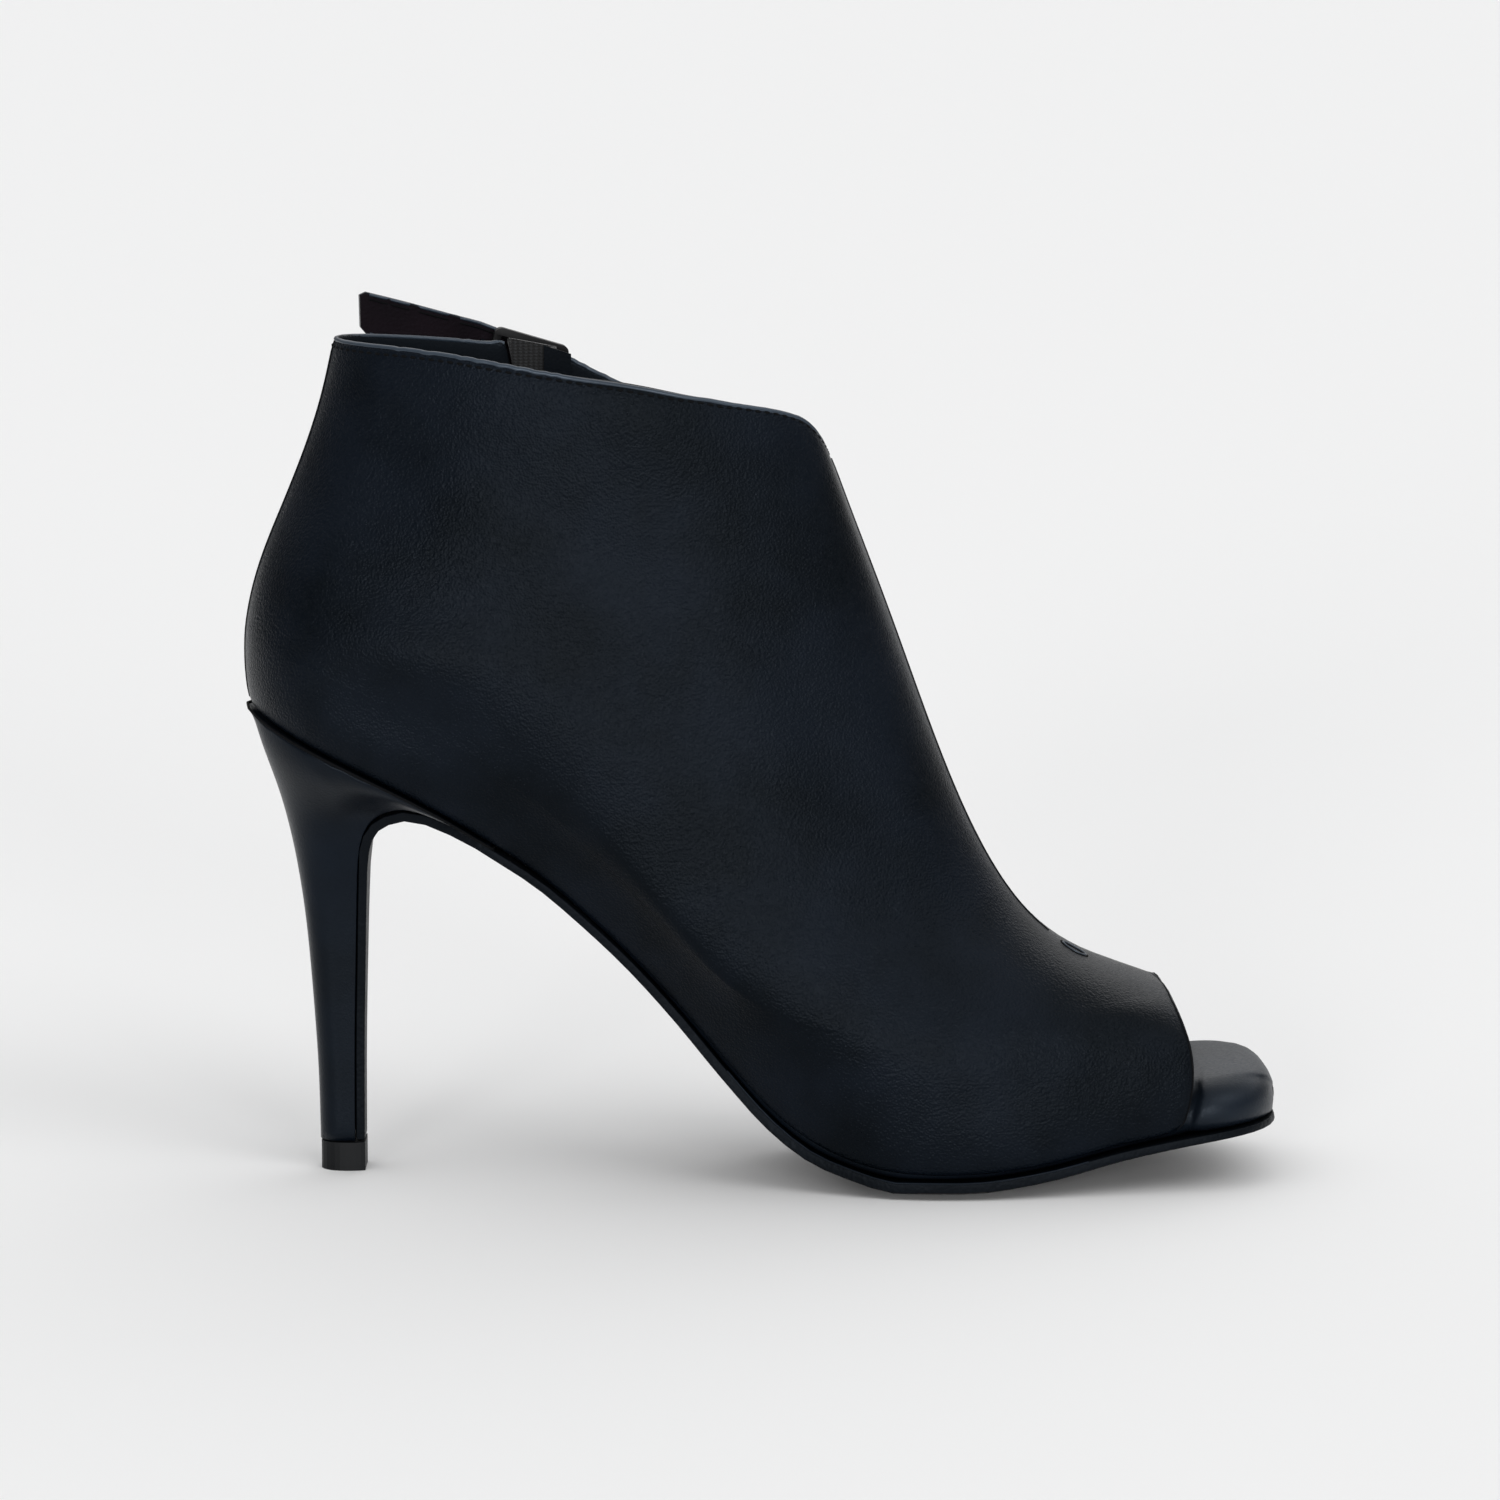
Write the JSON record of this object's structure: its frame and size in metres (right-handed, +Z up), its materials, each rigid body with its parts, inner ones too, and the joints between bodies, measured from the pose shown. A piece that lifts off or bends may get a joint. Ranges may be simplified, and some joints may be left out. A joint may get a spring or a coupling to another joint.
{
  "type": "peep toe ankle bootie",
  "caption": "Peep toe ankle bootie on a slim covered stiletto heel, with a padded insole, an elastic gusset and a buckled strap at the inner ankle.",
  "frame": {"origin": "middle of the heel tip's flat face, on the ground", "axes": "+X along the shoe from heel to toe, +Y to the inner (medial) side of this right shoe, +Z up"},
  "size_m": [0.2157, 0.0737, 0.1825],
  "materials": {
    "upper_leather": "smooth fine-grained black leather, satin",
    "sole_leather": "black-painted leather sole, satin edge",
    "insole_leather": "soft black leather over padding, satin",
    "top_piece": "moulded black polyurethane",
    "gusset_knit": "black ribbed knit elastic",
    "buckle_metal": "black coated zinc frame"
  },
  "bodies": {
    "root": {"outsole": "sole_leather", "heel": "upper_leather", "top_piece": "top_piece", "insole": "insole_leather", "upper": "upper_leather", "gusset": "gusset_knit", "strap": "upper_leather", "buckle": "buckle_metal", "buckle_tab": "upper_leather"}
  },
  "joints": []
}
